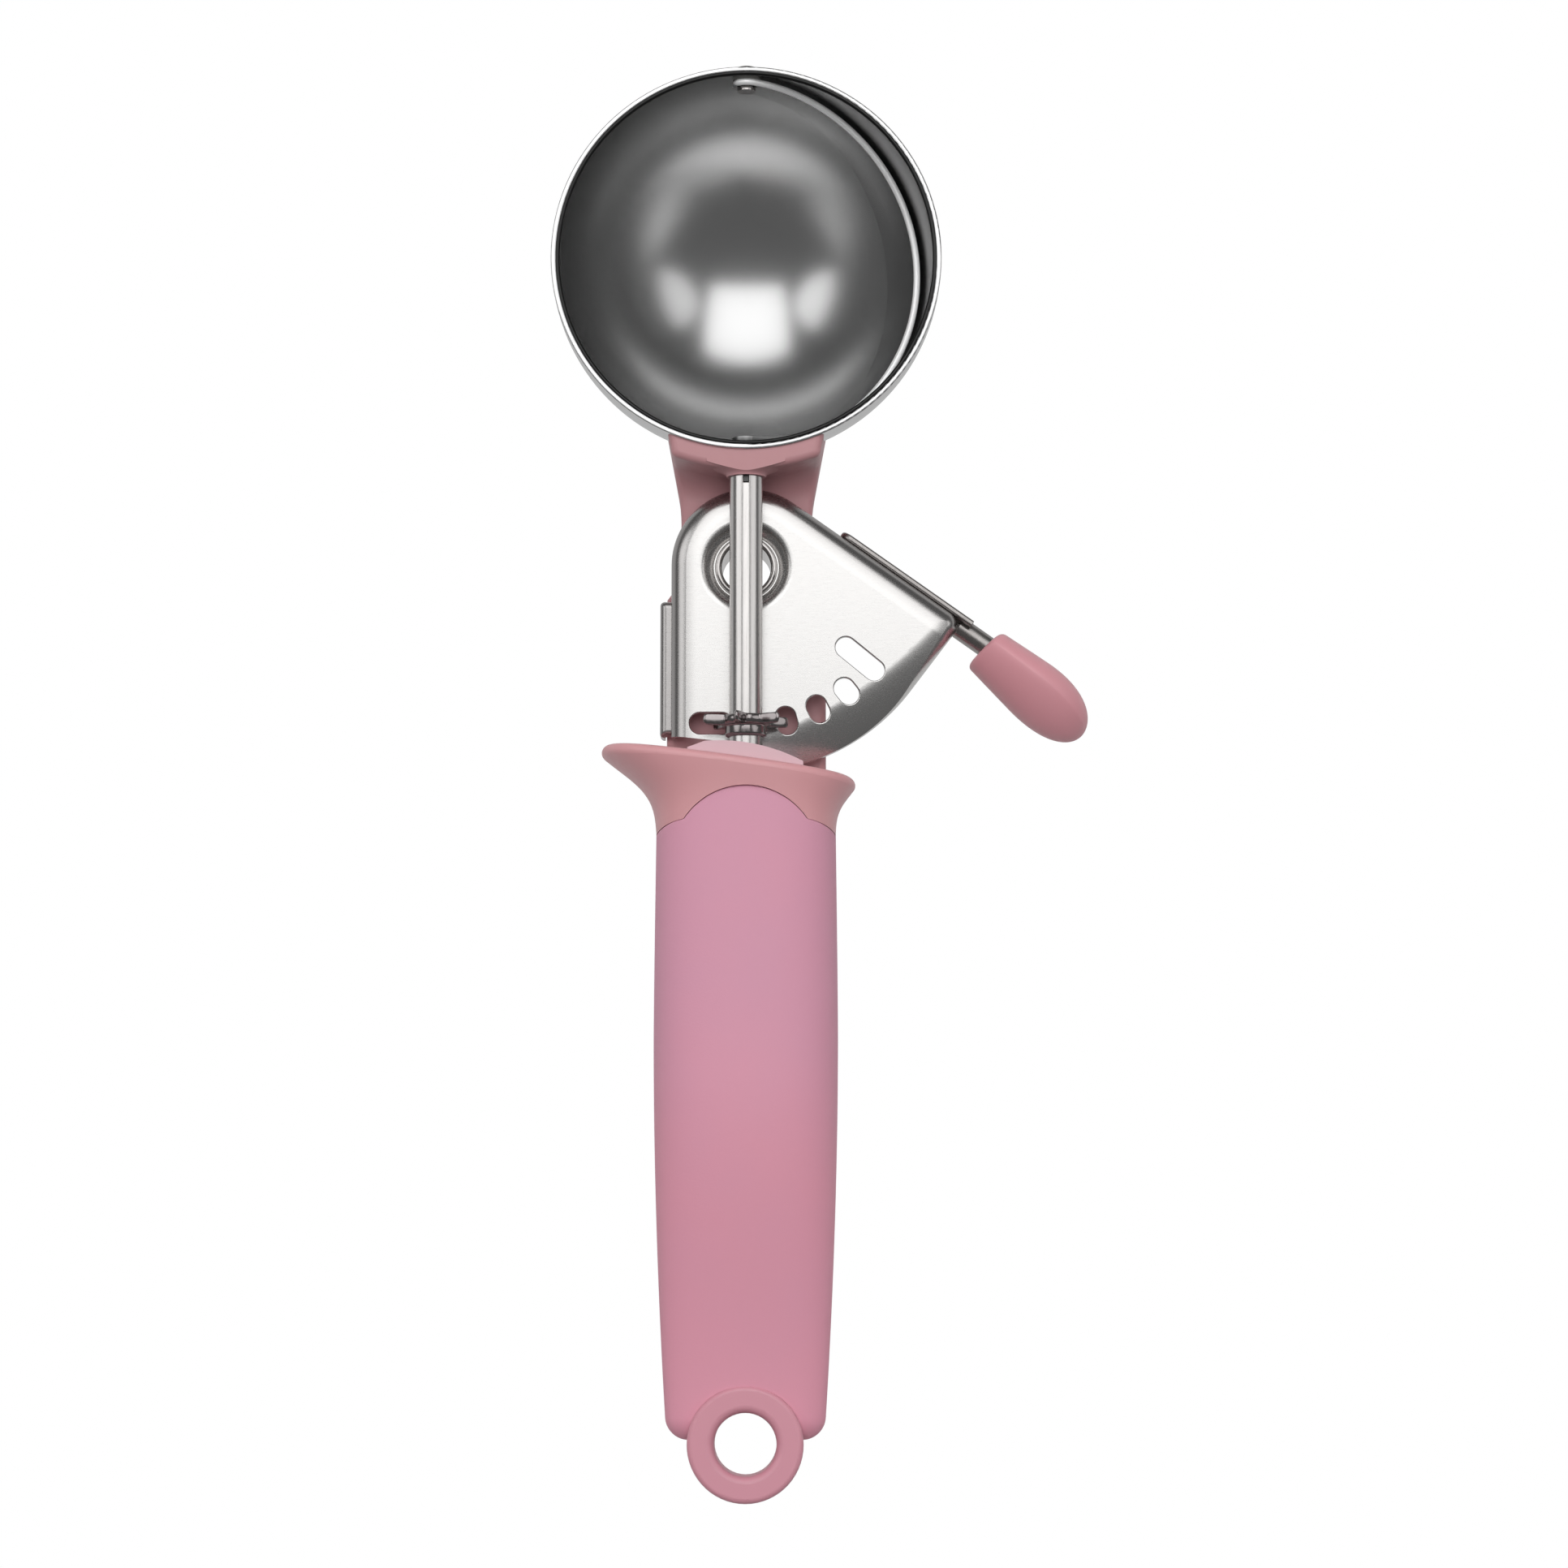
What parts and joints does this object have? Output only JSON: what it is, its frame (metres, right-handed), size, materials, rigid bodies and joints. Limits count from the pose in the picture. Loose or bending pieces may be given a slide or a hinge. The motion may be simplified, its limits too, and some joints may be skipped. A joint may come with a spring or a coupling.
{
  "type": "ice cream scoop",
  "caption": "Hand scoop with a round steel bowl; a thumb lever turns a holed sector plate, star wheel and shaft that sweep a bent blade round the bowl to release the ball.",
  "frame": {"origin": "centre of the hanging hole, half way through the ring", "axes": "+Y along the handle to the bowl, +Z out of the bowl's mouth and along the hanging hole, +X to the thumb lever's side"},
  "size_m": [0.0855, 0.2274, 0.0379],
  "materials": {
    "bowl_steel": "satin, spun inside",
    "plate_steel": "fine brushed",
    "shaft_steel": "polished",
    "spring_steel": "drawn wire",
    "hard_pink": "smooth satin",
    "pale_pink": "smooth",
    "soft_pink": "soft touch, fine grain",
    "white_nylon": "natural"
  },
  "bodies": {
    "handle": {"bowl": "bowl_steel", "bowl_rivets": "shaft_steel", "frame": "hard_pink", "bearing_block": "pale_pink", "handle_core": "hard_pink", "grip_sleeve": "soft_pink", "tang_pin": "shaft_steel", "pivot_eyelet": "shaft_steel", "pivot_washer": "plate_steel", "return_spring": "spring_steel", "blade_pivot_rivet": "shaft_steel", "blade_pivot_washer": "white_nylon"},
    "lever": {"sector_plate": "plate_steel", "lever_arm": "plate_steel", "thumb_pad": "hard_pink"},
    "sweeper": {"shaft": "shaft_steel", "pinion": "shaft_steel", "scraper_blade": "plate_steel", "blade_pin": "shaft_steel"}
  },
  "joints": [
    {"name": "lever_press", "type": "hinge", "parent": "handle", "child": "lever", "pos_m": [0, 0.138, 0.0025], "axis": [0, 0, -1], "range_deg": [0, 30], "stiffness_Nm_per_rad": 0.5, "springref_deg": -22.92, "deforming": ["return_spring"]},
    {"name": "blade_sweep", "type": "hinge", "parent": "handle", "child": "sweeper", "pos_m": [0, 0.1864, 0.0065], "axis": [0, 1, 0], "range_deg": [0, 150]}
  ],
  "couplings": [
    {"joint": "blade_sweep", "follows": "lever_press", "ratio": 5}
  ]
}
